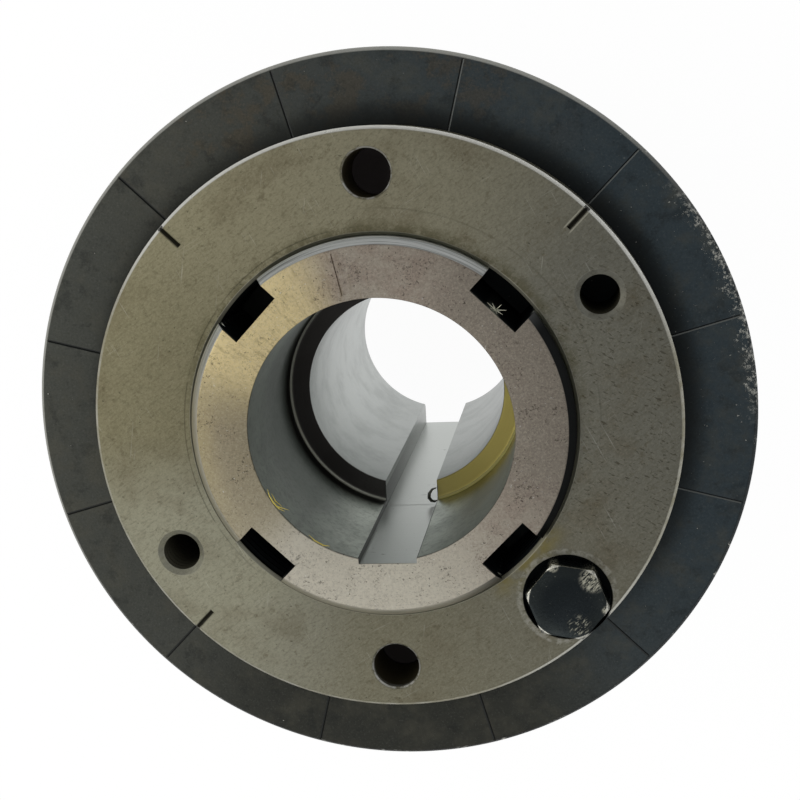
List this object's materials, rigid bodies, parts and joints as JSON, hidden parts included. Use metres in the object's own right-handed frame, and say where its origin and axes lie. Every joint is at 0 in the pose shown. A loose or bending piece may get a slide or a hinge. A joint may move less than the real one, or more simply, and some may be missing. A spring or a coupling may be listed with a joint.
{
  "type": "safety clutch",
  "caption": "Ratcheting ball-detent safety clutch with a keyed slotted hub, graduated black ring, adjusting nut with locking bolt, spring pack and bolted output flange.",
  "frame": {"origin": "centre of the hub's rear face, on the shaft axis", "axes": "+Z along the shaft axis towards the adjusting nut; the keyway is on the -Y side"},
  "size_m": [0.1, 0.1, 0.084],
  "materials": {
    "hub_steel": "turned bare steel, matt, with small dark specks",
    "bearing_steel": "ground bearing steel",
    "cage_polyamide": "moulded cage",
    "ball_steel": "polished bearing steel",
    "seal_rubber": "moulded rubber seal",
    "spring_steel": "phosphated spring steel",
    "flange_steel": "blackened turned steel",
    "detent_steel": "hardened and ground steel",
    "screw_steel": "blackened fastener steel",
    "pressure_steel": "turned steel, lightly oiled",
    "index_steel": "blackened turned steel, satin, worn bright at the rim",
    "nut_steel": "olive-grey finished steel with faint scratches",
    "bolt_steel": "blackened glossy fastener steel with worn edges"
  },
  "bodies": {
    "hub_side": {"hub": "hub_steel", "bearing_inner_ring": "bearing_steel", "hub_snap_ring": "spring_steel", "cup_springs": "spring_steel"},
    "index_side": {"index_ring": "index_steel"},
    "nut_side": {"adjusting_nut": "nut_steel", "locking_bolt": "bolt_steel"},
    "pressure_side": {"pressure_ring": "pressure_steel", "thrust_washer": "detent_steel", "drive_balls": "ball_steel"},
    "flange_side": {"output_flange": "flange_steel", "detent_ring": "detent_steel", "detent_ring_screws": "screw_steel", "detent_ring_dowels": "screw_steel", "bearing_outer_ring": "bearing_steel", "rear_bearing_seal": "seal_rubber", "front_bearing_seal": "seal_rubber", "flange_snap_ring": "spring_steel"},
    "bearing_cage_side": {"bearing_cage": "cage_polyamide", "bearing_balls": "ball_steel"}
  },
  "joints": [
    {"name": "output_slip", "type": "hinge", "parent": "hub_side", "child": "flange_side", "pos_m": [0, 0, 0], "axis": [0, 0, 1], "range_deg": [0, 5.5]},
    {"name": "pressure_lift", "type": "slide", "parent": "hub_side", "child": "pressure_side", "axis": [0, 0, 1], "range_m": [0, 0.002], "stiffness_N_per_m": 2000, "springref_m": -0.005, "deforming": ["cup_springs"]},
    {"name": "bearing_roll", "type": "hinge", "parent": "hub_side", "child": "bearing_cage_side", "pos_m": [0, 0, 0.0135], "axis": [0, 0, 1], "range_deg": [0, 3.2]},
    {"name": "ring_slide", "type": "slide", "parent": "hub_side", "child": "index_side", "axis": [0, 0, 1], "range_m": [-0.00151, 0.00076], "deforming": ["cup_springs"]},
    {"name": "nut_turn", "type": "hinge", "parent": "index_side", "child": "nut_side", "pos_m": [0, 0, 0.076], "axis": [0, 0, 1], "range_deg": [-360, 180]}
  ],
  "couplings": [
    {"joint": "pressure_lift", "follows": "output_slip", "m_per_rad": 0.020785},
    {"joint": "bearing_roll", "follows": "output_slip", "ratio": 0.5433},
    {"joint": "ring_slide", "follows": "nut_turn", "m_per_rad": 0.00023873}
  ]
}
